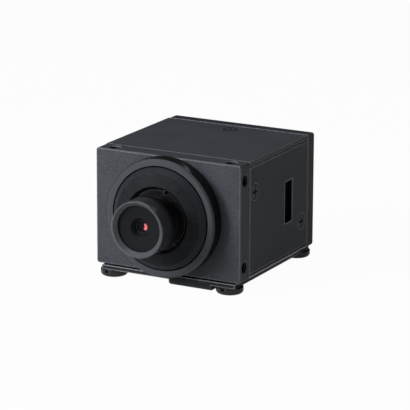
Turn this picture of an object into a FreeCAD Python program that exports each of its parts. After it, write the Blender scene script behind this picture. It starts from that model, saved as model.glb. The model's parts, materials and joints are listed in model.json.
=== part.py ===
import FreeCAD, Part
import math
import os
import re
import Sketcher

# Compact machine vision camera: a screwed metal housing on a footed base plate,
# a round lens mount on the front plate, a small lens with a lock ring, and the
# sensor, boards and sockets inside it.
#
# Every piece is drawn in the camera's own frame: X across the front, Y from the
# front face towards the sockets, Z up from the underside of the housing.  The
# frame of the finished part stands on the feet, with its origin in the middle of
# the bounding box, so each piece is moved there by its Placement.

SIZES = {
    # housing
    "body_width": 60.0,
    "body_height": 44.0,
    "body_depth": 61.0,
    "front_thickness": 7.2,
    "rear_thickness": 6.2,
    "corner_round": 1.0,
    "panel_thickness": 2.4,
    "wall_thickness": 2.5,
    "floor_thickness": 3.0,
    "cover_thickness": 1.6,
    "shadow_gap": 0.4,
    "seam_gap": 0.1,
    "rail_height": 1.1,
    "rail_chamfer": 0.6,
    "edge_chamfer": 0.3,
    "seam_chamfer": 0.2,
    "back_round": 1.5,
    "lip_thickness": 0.9,
    "lip_reach": 1.3,
    "lug_width": 12.0,
    "lug_thickness": 3.2,
    "lug_reach": 9.3,
    "rib": 7.2,
    "tie_bias": 0.7,
    # threaded holes for brackets, M4
    "side_hole_low": 5.4,
    "side_hole_drop": 6.1,
    "top_hole_inset": 5.8,
    "tap_radius": 2.1,
    "tap_mouth": 2.6,
    "tap_angle": 120.0,
    "head_angle": 90.0,
    "tap_depth": 3.5,
    # screws, M3 and M2.5
    "screw_radius": 1.5,
    "screw_head": 3.0,
    "small_screw_radius": 1.25,
    "small_screw_head": 2.3,
    "pan_head_height": 1.6,
    "screw_clearance": 0.05,
    "hole_gap": 0.15,
    "recess_depth": 1.1,
    "recess_width": 0.7,
    "recess_reach": 0.55,
    "screw_slack": 0.3,
    "blind_depth": 4.5,
    "panel_screw_front": 4.1,
    "panel_screw_rear": 5.1,
    "panel_screw_high": 12.0,
    "panel_screw_low": 11.7,
    "cover_screw_inset": 5.8,
    # lens mount
    "ring_proud": 0.3,
    "ring_wall": 2.6,
    "ring_reach": 5.8,
    "ring_chamfer": 0.8,
    "ring_floor": 2.0,
    "disc_gap": 0.55,
    "disc_bevel": 1.75,
    "disc_reach": 8.5,
    "disc_face_reach": 7.4,
    "disc_edge_reach": 5.9,
    "spigot_radius": 13.0,
    "spigot_length": 1.7,
    "mount_bore": 12.3,
    "mount_lip": 1.0,
    "mount_lip_width": 0.9,
    "disc_tap_depth": 3.3,
    "flange_focal": 17.526,
    # lens
    "lens_reach": 22.7,
    "barrel_radius": 10.6,
    "barrel_length": 8.8,
    "neck_radius": 9.3,
    "neck_end": 0.4,
    "relief_width": 0.8,
    "relief_depth": 0.4,
    "running_gap": 0.05,
    "carrier_reach": 5.5,
    "lock_radius": 11.5,
    "lock_thickness": 2.0,
    "lock_slot_width": 1.8,
    "lock_slot_depth": 1.3,
    "lock_slots": 3,
    "lock_slot_angle": 73.0,
    "rim_radius": 9.9,
    "rim_chamfer": 0.2,
    "mouth_radius": 8.7,
    "mouth_depth": 2.0,
    "cap_thickness": 1.8,
    "cap_dish": 0.35,
    "cap_bevel_radius": 3.8,
    "cap_hole_radius": 2.75,
    "cell_radius": 7.0,
    "cell_gap": 0.1,
    "cell_wall": 1.0,
    "cell_tail": 1.6,
    "pupil_radius": 1.8,
    "pupil_bevel": 0.5,
    "element_radius": 4.85,
    "front_element_thickness": 2.4,
    "rear_element_thickness": 3.0,
    "element_curve": 9.0,
    "stop_radius": 1.3,
    "stop_thickness": 0.3,
    "spacer_length": 7.5,
    "spacer_wall": 1.2,
    "keeper_thickness": 1.2,
    "keeper_step": 0.8,
    # filter and sensor
    "filter_radius": 11.9,
    "filter_thickness": 1.1,
    "filter_bore": 12.2,
    "filter_seat": 4.2,
    "light_window": 10.5,
    "package_width": 22.0,
    "package_back": 1.95,
    "package_front": 0.95,
    "package_rim": 1.5,
    "die_width": 14.2,
    "die_height": 10.4,
    "die_thickness": 0.55,
    "lid_thickness": 0.6,
    # boards
    "board_thickness": 1.6,
    "board_gap": 0.6,
    "stack_inset": 2.9,
    "spacer_radius": 2.5,
    "interface_gap": 1.8,
    "chip_width": 17.0,
    "chip_thickness": 1.8,
    "header_gap": 0.9,
    "header_height": 5.0,
    # side port
    "slot_inset": 22.15,
    "slot_width": 6.3,
    "slot_height": 15.9,
    "port_depth": 11.0,
    "port_wall": 0.8,
    "port_gap": 0.2,
    "port_cavity": 6.0,
    "tongue_thickness": 0.9,
    "tongue_inset": 1.2,
    # rear sockets
    "jack_width": 16.0,
    "jack_height": 14.0,
    "jack_reach": 0.5,
    "jack_mouth_width": 11.8,
    "jack_mouth_height": 7.4,
    "jack_mouth_depth": 12.0,
    "jack_key_width": 6.2,
    "jack_key_height": 1.6,
    "socket_gap": 0.3,
    "contact_pitch": 1.02,
    "contact_width": 0.4,
    "contact_height": 0.9,
    "contact_setback": 3.0,
    "rear_reach": 7.0,
    "shell_radius": 6.0,
    "shell_flange_radius": 7.4,
    "shell_flange": 1.6,
    "shell_nose_radius": 5.6,
    "shell_bore": 4.7,
    "shell_tail": 3.0,
    "nut_thickness": 2.2,
    "nut_rim": 2.0,
    "insert_reach": 0.6,
    "pin_radius": 0.4,
    "pin_circle": 3.2,
    "pin_reach": 4.0,
    "light_drop": 8.0,
    "light_radius": 1.5,
    "light_reach": 0.3,
    "lamp_width": 2.0,
    "lamp_thickness": 1.2,
    "collar": 0.8,
    # base
    "base_gap": 0.6,
    "base_thickness": 1.6,
    "base_inset": 2.2,
    "boss_height": 2.1,
    "boss_round": 1.2,
    "tripod_radius": 2.55,
    "base_screw_inset": 13.0,
    "base_pad_radius": 3.8,
    "foot_radius": 5.1,
    "foot_height": 2.4,
    "foot_round": 1.3,
    "foot_side": 5.8,
    "foot_inset": 3.0,
    "foot_stem": 1.6,
    "foot_notch_width": 2.0,
    "foot_notch_depth": 1.2,
    "foot_notch_height": 0.9,
}

# Lengths that follow from the sizes, as expressions.
DERIVED = {
    "lift": "base_gap + base_thickness + foot_height",
    "front_face": "(lens_reach - body_depth - rear_reach) / 2",
    "half": "body_width / 2",
    "wall_out": "half - panel_thickness",
    "wall_in": "wall_out - wall_thickness",
    "deck": "body_height - cover_thickness",
    "axis_z": "body_height / 2",
    "mid_front": "front_thickness",
    "mid_rear": "body_depth - rear_thickness",
    "top_hole_x": "half - top_hole_inset",
    "tie_x": "wall_in - rib / 2 - tie_bias",
    "tie_low": "floor_thickness + rib / 2",
    "tie_high": "deck - rib / 2 - tie_bias",
    "panel_low": "rail_height + shadow_gap",
    "panel_high": "deck - shadow_gap",
    "panel_start": "mid_front + seam_gap",
    "panel_end": "mid_rear - seam_gap",
    "screw_z_front": "body_height - panel_screw_high",
    "screw_y_front": "mid_front + panel_screw_front",
    "screw_y_rear": "mid_rear - panel_screw_rear",
    "ring_radius": "axis_z + ring_proud",
    "ring_recess_radius": "ring_radius - ring_wall",
    "disc_radius": "ring_recess_radius - disc_gap",
    "disc_face_radius": "disc_radius - disc_bevel",
    "disc_screw_circle": "(ring_recess_radius + spigot_radius) / 2",
    "barrel_back": "-(lens_reach - barrel_length)",
    "cap_front": "-(lens_reach - mouth_depth)",
    "cap_back": "cap_front + cap_thickness",
    "cell_front": "cap_back + cell_gap",
    "glass_front": "cell_front + cell_wall",
    "stop_front": "glass_front + front_element_thickness",
    "spacer_front": "stop_front + stop_thickness",
    "rear_glass": "spacer_front + spacer_length",
    "keeper_front": "rear_glass + rear_element_thickness",
    "sensor_y": "flange_focal - disc_reach",
    "package_end": "sensor_y + package_back",
    "sensor_board_y": "package_end",
    "slot_centre": "body_depth - slot_inset",
    "processor_back": "slot_centre - slot_width / 2 - port_gap",
    "processor_y": "processor_back - board_thickness",
    "port_end": "slot_centre + slot_width / 2 - port_gap",
    "port_low": "axis_z - slot_height / 2 + port_gap",
    "port_high": "axis_z + slot_height / 2 - port_gap",
    "interface_y": "port_end + interface_gap",
    "interface_back": "interface_y + board_thickness",
    "board_half": "wall_in - board_gap",
    "board_neck": "wall_in - rib - board_gap",
    "board_low": "floor_thickness + board_gap",
    "board_high": "deck - board_gap",
    "neck_low": "floor_thickness + rib + board_gap",
    "neck_high": "deck - rib - board_gap",
    "light_height": "body_height - corner_round - light_drop",
    "stack_x": "board_neck - stack_inset",
    "stack_low": "board_low + stack_inset",
    "stack_high": "board_high - stack_inset",
    "header_width": "2 * (stack_x - spacer_radius - header_gap)",
    "socket_x": "wall_in / 2",
    "base_top": "-base_gap",
    "base_bottom": "-(base_gap + base_thickness)",
    "base_half": "half - base_inset",
    "foot_x": "half - foot_side",
    "foot_rear": "body_depth - foot_inset",
    "boss_width": "foot_x - foot_radius - shadow_gap",
    "base_screw_rear": "body_depth - base_screw_inset",
}

os.makedirs("parts", exist_ok=True)
doc = FreeCAD.newDocument("vision_camera")
sheet = doc.addObject("Spreadsheet::Sheet", "sizes")
for row, (alias, value) in enumerate(SIZES.items(), 1):
    sheet.set("A%d" % row, alias)
    sheet.set("B%d" % row, str(value))
    sheet.setAlias("B%d" % row, alias)
doc.recompute()

PIECES = []
PLANES = {"front": "XZ_Plane", "top": "XY_Plane", "side": "YZ_Plane"}
NEAR = 0.01  # closer than this counts as touching


def formula(text):
    """Write a length with every derived name spelled out in cells of the sheet."""
    def swap(match):
        word = match[0]
        if word in DERIVED:
            return "(" + formula(DERIVED[word]) + ")"
        return "sizes." + word if word in SIZES else word
    return re.sub(r"[A-Za-z_]\w*", swap, str(text))


def length(text):
    """Read a length from the sheet as a number."""
    return float(sheet.evalExpression(formula(text)))


def bind(item, **places):
    """Tie properties of an object to lengths; _ in a name stands for a dot."""
    for name, text in places.items():
        item.setExpression(name.replace("__", "."), formula(text))


def piece(item, label, place=("0", "front_face", "lift")):
    """Finish a sub-part: its label and its place in the finished part's frame."""
    item.Label = label
    for axis, text in zip("xyz", place):
        item.setExpression("Placement.Base." + axis, formula(text))
    PIECES.append(item)
    return item


# ---------------------------------------------------------------- drawing

def sketch(body, view, at="0"):
    """Add a sketch seen from the front, top or side, lying at a given depth."""
    item = body.newObject("Sketcher::SketchObject", body.Name + "_sketch")
    plane = [face for face in body.Origin.OriginFeatures if face.Role == PLANES[view]][0]
    item.AttachmentSupport = (plane, [""])
    item.MapMode = "FlatFace"
    depth = "-(%s)" % at if view == "front" else at
    item.setExpression("AttachmentOffset.Base.z", formula(depth))
    return item


def pin(item, geometry, point, across, along):
    """Hold one point of a sketch at its two distances from the origin."""
    for kind, text, axis in (("DistanceX", across, -2), ("DistanceY", along, -1)):
        value = length(text)
        if text == "0":
            item.addConstraint(Sketcher.Constraint("PointOnObject", geometry, point, axis))
        else:
            index = item.addConstraint(Sketcher.Constraint(kind, -1, 1, geometry, point, value))
            item.setExpression("Constraints[%d]" % index, formula(text))


def outline(item, corners):
    """Draw a closed outline of straight edges through the corners."""
    first = item.GeometryCount
    spots = [FreeCAD.Vector(length(a), length(b), 0) for a, b in corners]
    count = len(corners)
    for index in range(count):
        edge = Part.LineSegment(spots[index], spots[(index + 1) % count])
        item.addGeometry(edge, False)
    for index in range(count):
        after = first + (index + 1) % count
        item.addConstraint(Sketcher.Constraint("Coincident", first + index, 2, after, 1))
    for index, (across, along) in enumerate(corners):
        pin(item, first + index, 1, across, along)


def rectangle(item, left, right, low, high):
    outline(item, [(left, low), (right, low), (right, high), (left, high)])


def circle(item, across, along, radius):
    centre = FreeCAD.Vector(length(across), length(along), 0)
    ring = Part.Circle(centre, FreeCAD.Vector(0, 0, 1), length(radius))
    index = item.addGeometry(ring, False)
    pin(item, index, 3, across, along)
    size = item.addConstraint(Sketcher.Constraint("Radius", index, length(radius)))
    item.setExpression("Constraints[%d]" % size, formula(radius))


def new_body(label):
    return doc.addObject("PartDesign::Body", label)


def pad(body, profile, thickness):
    """Raise a sketch along +Y, +Z or +X."""
    item = body.newObject("PartDesign::Pad", body.Name + "_pad")
    item.Profile = profile
    item.setExpression("Length", formula(thickness))
    item.Reversed = profile.AttachmentSupport[0][0].Role == PLANES["front"]
    doc.recompute()
    return item


def cut(body, profile, depth=None, backwards=False):
    """Cut a sketch along -Z or -X (or +Y for the front view), or the other way."""
    before = body.Shape.Volume
    item = body.newObject("PartDesign::Pocket", body.Name + "_pocket")
    item.Profile = profile
    item.Reversed = backwards
    if depth is None:
        item.Type = "ThroughAll"
    else:
        item.setExpression("Length", formula(depth))
    doc.recompute()
    if not body.Shape.Volume < before:
        raise RuntimeError(item.Name + " removes nothing")
    return item


def drill(body, view, at, centres, radius, depth=None, head=None, backwards=False, angle="head_angle"):
    """Drill round holes, with a countersunk mouth where a head radius is given."""
    before = body.Shape.Volume
    marks = sketch(body, view, at)
    for across, along in centres:
        circle(marks, across, along, radius)
    doc.recompute()
    item = body.newObject("PartDesign::Hole", body.Name + "_hole")
    item.Profile = marks
    doc.recompute()
    item.Threaded = False
    item.DrillPoint = "Flat"
    item.Reversed = backwards
    item.setExpression("Diameter", formula("2 * (%s)" % radius))
    if depth is None:
        item.DepthType = "ThroughAll"
    else:
        item.DepthType = "Dimension"
        item.setExpression("Depth", formula(depth))
    if head is not None:
        item.HoleCutType = "Countersink"
        item.setExpression("HoleCutCountersinkAngle", formula(angle))
        item.setExpression("HoleCutDiameter", formula("2 * (%s)" % head))
    doc.recompute()
    if not body.Shape.Volume < before:
        raise RuntimeError(item.Name + " removes nothing")
    return item


def turned(label, profile, across="0", height="axis_z"):
    """Turn a profile of (depth, radius) corners about an axis along Y."""
    body = new_body(label)
    half_section = sketch(body, "side")
    outline(half_section, profile)
    item = body.newObject("PartDesign::Revolution", label + "_turn")
    item.Profile = half_section
    item.ReferenceAxis = (half_section, ["H_Axis"])
    item.Angle = 360
    doc.recompute()
    return piece(body, label, (across, "front_face", "lift + " + height))


def long_edges(shape, direction, keep):
    """Name the straight edges along a direction whose middle passes a test."""
    names = []
    for index, edge in enumerate(shape.Edges, 1):
        if edge.Curve.TypeId == "Part::GeomLine" and abs(edge.tangentAt(0).dot(direction)) > 0.999:
            if keep(edge.CenterOfMass):
                names.append("Edge%d" % index)
    return names


def round_edges(body, radius, direction, keep):
    base = body.Tip
    item = body.newObject("PartDesign::Fillet", body.Name + "_round")
    item.Base = (base, long_edges(base.Shape, direction, keep))
    item.setExpression("Radius", formula(radius))
    doc.recompute()


def bevel_edges(body, size, direction, keep):
    base = body.Tip
    item = body.newObject("PartDesign::Chamfer", body.Name + "_bevel")
    item.Base = (base, long_edges(base.Shape, direction, keep))
    item.setExpression("Size", formula(size))
    doc.recompute()


def bevel_rim(body, size, plane):
    """Chamfer the edges that bound one end of a plate, given its place along Y."""
    base = body.Tip
    end = length(plane)
    widest = base.Shape.BoundBox
    names = []
    for index, edge in enumerate(base.Shape.Edges, 1):
        box_of = edge.BoundBox
        flat = abs(box_of.YMin - end) < NEAR and abs(box_of.YMax - end) < NEAR
        outer = (box_of.XMin < widest.XMin + NEAR or box_of.XMax > widest.XMax - NEAR
                 or box_of.ZMin < widest.ZMin + NEAR or box_of.ZMax > widest.ZMax - NEAR)
        if flat and outer:
            names.append("Edge%d" % index)
    item = body.newObject("PartDesign::Chamfer", body.Name + "_rim")
    item.Base = (base, names)
    item.setExpression("Size", formula(size))
    doc.recompute()


ACROSS = FreeCAD.Vector(1, 0, 0)
DEEP = FreeCAD.Vector(0, 1, 0)
UP = FreeCAD.Vector(0, 0, 1)


# ---------------------------------------------------------------- primitives

def box(name, low, size):
    item = doc.addObject("Part::Box", name)
    for prop, text in zip(("Length", "Width", "Height"), size):
        item.setExpression(prop, formula(text))
    for axis, text in zip("xyz", low):
        item.setExpression("Placement.Base." + axis, formula(text))
    return item


def rod(name, radius, start, reach, across="0", height="0"):
    """Make a round rod along +Y."""
    item = doc.addObject("Part::Cylinder", name)
    item.setExpression("Radius", formula(radius))
    item.setExpression("Height", formula(reach))
    item.Placement.Rotation = FreeCAD.Rotation(ACROSS, -90)
    for axis, text in zip("xyz", (across, start, height)):
        item.setExpression("Placement.Base." + axis, formula(text))
    return item


def group(label, items):
    """Keep identical pieces together in one sub-part, as separate solids."""
    item = doc.addObject("Part::Compound", label)
    item.Links = items
    return piece(item, label)


def less(name, whole, tools):
    """Cut tools out of a solid."""
    item = doc.addObject("Part::Cut", name)
    item.Base = whole
    item.Tool = tools[0] if len(tools) == 1 else join(name + "_tools", tools)
    return item


def join(name, items):
    item = doc.addObject("Part::MultiFuse", name)
    item.Shapes = items
    return item


TURNS = {
    "+X": FreeCAD.Rotation(DEEP, 90),
    "-X": FreeCAD.Rotation(DEEP, -90),
    "+Y": FreeCAD.Rotation(ACROSS, -90),
    "-Z": FreeCAD.Rotation(ACROSS, 180),
    "+Z": FreeCAD.Rotation(),
}


def screw(name, facing, spot, radius, head, reach, flat=True):
    """Make one screw: its head's top lies at the spot and looks the way it faces."""
    drop = "%s - %s" % (head, radius)
    if flat:
        cap = doc.addObject("Part::Cone", name + "_head")
        bind(cap, Radius1=radius, Radius2=head, Height=drop, Placement__Base__z="-(%s)" % drop)
    else:
        cap = doc.addObject("Part::Cylinder", name + "_head")
        bind(cap, Radius=head, Height="pan_head_height", Placement__Base__z="-pan_head_height")
    shank = doc.addObject("Part::Cylinder", name + "_shank")
    bind(shank, Radius=radius, Height=reach, Placement__Base__z="-(%s)" % reach)
    blades = []
    span = "2 * recess_reach * (%s)" % head
    for turn, (wide, deep) in enumerate(((span, "recess_width"), ("recess_width", span))):
        corner = ("-(%s) / 2" % wide, "-(%s) / 2" % deep, "-recess_depth")
        blades.append(box("%s_blade%d" % (name, turn), corner, (wide, deep, "2 * recess_depth")))
    item = less(name, join(name + "_blank", [cap, shank]), blades)
    item.Placement.Rotation = TURNS[facing]
    for axis, text in zip("xyz", spot):
        item.setExpression("Placement.Base." + axis, formula(text))
    return item


# ---------------------------------------------------------------- housing

def at_side(spot):
    return abs(spot.x) > length("half") - NEAR


def at_top(spot):
    return spot.z > length("body_height") - NEAR


def front_plate():
    body = new_body("front_plate")
    face = sketch(body, "front")
    rectangle(face, "-half", "half", "0", "body_height")
    pad(body, face, "front_thickness")
    round_edges(body, "corner_round", DEEP, at_side)
    bevel_rim(body, "edge_chamfer", "0")
    bevel_rim(body, "seam_chamfer", "front_thickness")
    bores = (("spigot_radius + running_gap", "spigot_length + seam_gap"),
             ("filter_bore", "filter_seat"), ("light_window", None))
    for radius, depth in bores:
        drill(body, "front", "0", [("0", "axis_z")], radius, depth)
    middle = "front_thickness / 2"
    sides = [(middle, "side_hole_low"), (middle, "body_height - side_hole_drop")]
    drill(body, "side", "half", sides, "tap_radius", "tap_depth", "tap_mouth", False, "tap_angle")
    drill(body, "side", "-half", sides, "tap_radius", "tap_depth", "tap_mouth", True, "tap_angle")
    tops = [("-top_hole_x", middle), ("top_hole_x", middle)]
    drill(body, "top", "body_height", tops, "tap_radius", "tap_depth", "tap_mouth", False, "tap_angle")
    drill(body, "front", "mid_front", TIES, "screw_radius + screw_clearance", "blind_depth", None, True)
    drill(body, "front", "mid_front", STACK, "small_screw_radius + screw_clearance", "blind_depth", None,
          True)
    drill(body, "front", "mid_front", DISC_SCREWS, "small_screw_radius + screw_clearance", None,
          "small_screw_head", True)
    groove = sketch(body, "front", "mid_front")
    rectangle(groove, "-(board_half + seam_gap)", "board_half + seam_gap", "deck", "deck + lip_thickness")
    cut(body, groove, "lip_reach + 2 * seam_gap", True)
    return piece(body, "front_plate")


def rear_plate():
    body = new_body("rear_plate")
    face = sketch(body, "front", "mid_rear")
    rectangle(face, "-half", "half", "0", "body_height")
    pad(body, face, "rear_thickness")
    round_edges(body, "corner_round", DEEP, at_side)
    behind = length("body_depth") - NEAR
    round_edges(body, "back_round", ACROSS, lambda spot: at_top(spot) and spot.y > behind)
    bevel_rim(body, "seam_chamfer", "mid_rear")
    lug = sketch(body, "front", "mid_rear - lug_reach")
    rectangle(lug, "-lug_width / 2", "lug_width / 2", "deck - lug_thickness", "deck")
    pad(body, lug, "lug_reach")
    window = sketch(body, "front", "mid_rear")
    wide = "(jack_width / 2 + socket_gap)"
    high = "(jack_height / 2 + socket_gap)"
    rectangle(window, "-socket_x - %s" % wide, "-socket_x + %s" % wide, "axis_z - %s" % high,
              "axis_z + %s" % high)
    cut(body, window)
    drill(body, "front", "mid_rear", [("socket_x", "axis_z")], "shell_radius + running_gap")
    drill(body, "front", "mid_rear", [("0", "light_height")], "light_radius + running_gap")
    drill(body, "front", "body_depth", TIES, "screw_radius + hole_gap", None, "screw_head", True)
    drill(body, "top", "deck", [("0", "mid_rear - cover_screw_inset")], "screw_radius + screw_clearance",
          "lug_thickness")
    return piece(body, "rear_plate")


def chassis():
    body = new_body("chassis")
    section = sketch(body, "front", "mid_front")
    right = [
        ("half - rail_chamfer", "0"), ("half", "rail_chamfer"), ("half", "rail_height"),
        ("wall_out", "rail_height"), ("wall_out", "deck"), ("wall_in - rib", "deck"),
        ("wall_in - rib", "deck - rib"), ("wall_in", "deck - rib"),
        ("wall_in", "floor_thickness + rib"), ("wall_in - rib", "floor_thickness + rib"),
        ("wall_in - rib", "floor_thickness"),
    ]
    left = [("-(%s)" % across, along) for across, along in reversed(right)]
    outline(section, right + left)
    pad(body, section, "mid_rear - mid_front")
    drill(body, "front", "mid_front", TIES, "screw_radius + hole_gap")
    for view_at, backwards in (("wall_out", False), ("-wall_out", True)):
        drill(body, "side", view_at, PANEL_SCREWS, "screw_radius + screw_clearance",
              "wall_thickness + rib", None, backwards)
    window = sketch(body, "side", "wall_out")
    rectangle(window, "slot_centre - slot_width / 2", "slot_centre + slot_width / 2",
              "axis_z - slot_height / 2", "axis_z + slot_height / 2")
    cut(body, window, "wall_thickness")
    drill(body, "top", "0", BASE_SCREWS, "screw_radius + screw_clearance", "floor_thickness", None, True)
    return piece(body, "chassis")


def top_cover():
    body = new_body("top_cover")
    plan = sketch(body, "top", "deck")
    outline(plan, [
        ("-half", "panel_start"), ("-board_half", "panel_start"), ("-board_half", "mid_front - lip_reach"),
        ("board_half", "mid_front - lip_reach"), ("board_half", "panel_start"), ("half", "panel_start"),
        ("half", "panel_end"), ("-half", "panel_end"),
    ])
    pad(body, plan, "cover_thickness")
    step = sketch(body, "top", "body_height")
    rectangle(step, "-half", "half", "mid_front - 2 * lip_reach", "panel_start")
    cut(body, step, "cover_thickness - lip_thickness + seam_gap")
    bevel_edges(body, "edge_chamfer", DEEP, lambda spot: at_top(spot) and at_side(spot))
    bevel_edges(body, "seam_chamfer", ACROSS, at_top)
    drill(body, "top", "body_height", [("0", "mid_rear - cover_screw_inset")], "screw_radius + hole_gap",
          None, "screw_head")
    return piece(body, "top_cover")


def side_panel(label, side, slotted):
    body = new_body(label)
    inner = "wall_out" if side > 0 else "-half"
    face = sketch(body, "side", inner)
    rectangle(face, "panel_start", "panel_end", "panel_low", "panel_high")
    pad(body, face, "panel_thickness")
    bevel_edges(body, "edge_chamfer", DEEP, at_side)
    bevel_edges(body, "seam_chamfer", UP, at_side)
    surface = "half" if side > 0 else "-half"
    drill(body, "side", surface, PANEL_SCREWS, "screw_radius + hole_gap", None, "screw_head", side < 0)
    if slotted:
        window = sketch(body, "side", "half")
        rectangle(window, "slot_centre - slot_width / 2", "slot_centre + slot_width / 2",
                  "axis_z - slot_height / 2", "axis_z + slot_height / 2")
        cut(body, window)
    return piece(body, label)


def housing_screws():
    panel = []
    for side, facing in ((1, "+X"), (-1, "-X")):
        for index, (along, height) in enumerate(PANEL_SCREWS):
            spot = ("half" if side > 0 else "-half", along, height)
            name = "panel_screw_%s%d" % ("right" if side > 0 else "left", index)
            panel.append(screw(name, facing, spot, "screw_radius", "screw_head",
                               "panel_thickness + wall_thickness - screw_slack"))
    group("side_panel_screws", panel)
    spot = ("0", "front_face + mid_rear - cover_screw_inset", "lift + body_height")
    reach = "cover_thickness + lug_thickness - screw_slack"
    cover = screw("cover_screw", "+Z", spot, "screw_radius", "screw_head", reach)
    piece(cover, "top_cover_screw", spot)
    ties = []
    for index, (across, height) in enumerate(TIES):
        ties.append(screw("tie%d" % index, "+Y", (across, "body_depth", height), "screw_radius",
                          "screw_head", "body_depth - front_thickness + blind_depth - screw_slack"))
    group("tie_screws", ties)


# ---------------------------------------------------------------- base

def base_plate():
    body = new_body("base_plate")
    plan = sketch(body, "top", "base_bottom")
    rectangle(plan, "-base_half", "base_half", "0", "body_depth")
    pad(body, plan, "base_thickness")
    pads = sketch(body, "top", "base_top")
    for across, along in BASE_SCREWS:
        circle(pads, across, along, "base_pad_radius")
    pad(body, pads, "base_gap")
    boss = sketch(body, "top", "base_bottom - boss_height")
    rectangle(boss, "0", "boss_width", "0", "boss_width")
    pad(body, boss, "boss_height")
    under = length("base_bottom - boss_height") + NEAR
    round_edges(body, "boss_round", DEEP, lambda spot: spot.z < under)
    round_edges(body, "boss_round", ACROSS, lambda spot: spot.z < under)
    drill(body, "top", "base_bottom - boss_height", [("boss_width / 2", "boss_width / 2")],
          "tripod_radius", None, None, True)
    drill(body, "top", "base_bottom", FEET, "foot_stem + running_gap", None, None, True)
    drill(body, "top", "base_bottom", BASE_SCREWS, "screw_radius + hole_gap", None, "screw_head", True)
    return piece(body, "base_plate")


def base_screws():
    items = []
    for index, (across, along) in enumerate(BASE_SCREWS):
        items.append(screw("base_screw%d" % index, "-Z", (across, along, "base_bottom"), "screw_radius",
                           "screw_head", "base_thickness + base_gap + floor_thickness - screw_slack"))
    group("base_plate_screws", items)


def foot(label, across, along):
    body = new_body(label)
    plan = sketch(body, "top", "-lift")
    circle(plan, across, along, "foot_radius")
    pad(body, plan, "foot_height")
    stem = sketch(body, "top", "base_bottom")
    circle(stem, across, along, "foot_stem")
    pad(body, stem, "base_thickness")
    notch = sketch(body, "top", "base_bottom")
    rectangle(notch, across + " - foot_notch_width / 2", across + " + foot_notch_width / 2",
              along + " - foot_radius - 1", along + " - foot_radius + foot_notch_depth")
    cut(body, notch, "foot_notch_height")
    base = body.Tip
    sole = length("-lift") + NEAR
    rims = [index for index, edge in enumerate(base.Shape.Edges, 1)
            if edge.Curve.TypeId == "Part::GeomCircle" and edge.CenterOfMass.z < sole]
    item = body.newObject("PartDesign::Fillet", label + "_round")
    item.Base = (base, ["Edge%d" % index for index in rims])
    item.setExpression("Radius", formula("foot_round"))
    doc.recompute()
    return piece(body, label)


# ---------------------------------------------------------------- lens mount

def lens_mount():
    turned("mount_ring", [
        ("0", "spigot_radius + running_gap"), ("0", "ring_radius - edge_chamfer"),
        ("-edge_chamfer", "ring_radius"),
        ("-(ring_reach - ring_chamfer)", "ring_radius"), ("-ring_reach", "ring_radius - ring_chamfer"),
        ("-ring_reach", "ring_recess_radius"), ("-ring_floor", "ring_recess_radius"),
        ("-ring_floor", "spigot_radius + running_gap"),
    ])
    turned("mount_disc", [
        ("spigot_length", "mount_bore - mount_lip_width"), ("spigot_length", "spigot_radius"),
        ("-ring_floor", "spigot_radius"), ("-ring_floor", "disc_radius"),
        ("-disc_edge_reach", "disc_radius"), ("-disc_face_reach", "disc_face_radius"),
        ("-disc_reach", "mount_bore + edge_chamfer"), ("-disc_reach + edge_chamfer", "mount_bore"),
        ("-mount_lip", "mount_bore"), ("-mount_lip", "mount_bore - mount_lip_width"),
    ])
    disc = PIECES[-1]
    drill(disc, "front", "-ring_floor", DISC_POINTS, "small_screw_radius + screw_clearance", "disc_tap_depth",
          None, True)
    ring = PIECES[-2]
    drill(ring, "front", "-ring_floor", DISC_POINTS, "small_screw_radius + hole_gap")
    screws = []
    for index, (across, height) in enumerate(DISC_SCREWS):
        reach = "front_thickness + ring_floor + disc_tap_depth - screw_slack"
        screws.append(screw("disc_screw%d" % index, "+Y", (across, "front_thickness", height),
                            "small_screw_radius", "small_screw_head", reach))
    group("mount_screws", screws)
    turned("lens_carrier", [
        ("-mount_lip", "neck_radius + running_gap"), ("-mount_lip", "mount_bore - running_gap"),
        ("-carrier_reach", "mount_bore - running_gap"), ("-carrier_reach", "neck_radius + running_gap"),
    ])


def lock_ring():
    face = "-(carrier_reach + lock_thickness)"
    body = turned("lock_ring", [
        ("-carrier_reach", "neck_radius + running_gap"), ("-carrier_reach", "lock_radius"),
        (face + " + edge_chamfer", "lock_radius"), (face, "lock_radius - edge_chamfer"),
        (face, "neck_radius + running_gap"),
    ])
    slot = sketch(body, "front", face)
    slot.AttachmentOffset.Rotation = FreeCAD.Rotation(UP, length("lock_slot_angle"))
    rectangle(slot, "lock_radius - lock_slot_depth", "lock_radius + 1", "-lock_slot_width / 2",
              "lock_slot_width / 2")
    first = cut(body, slot)
    ring = body.newObject("PartDesign::PolarPattern", "lock_ring_slots")
    ring.Originals = [first]
    ring.Axis = (slot, ["N_Axis"])
    ring.Angle = 360
    ring.Occurrences = int(length("lock_slots"))
    body.Tip = ring
    doc.recompute()


# ---------------------------------------------------------------- lens

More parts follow.
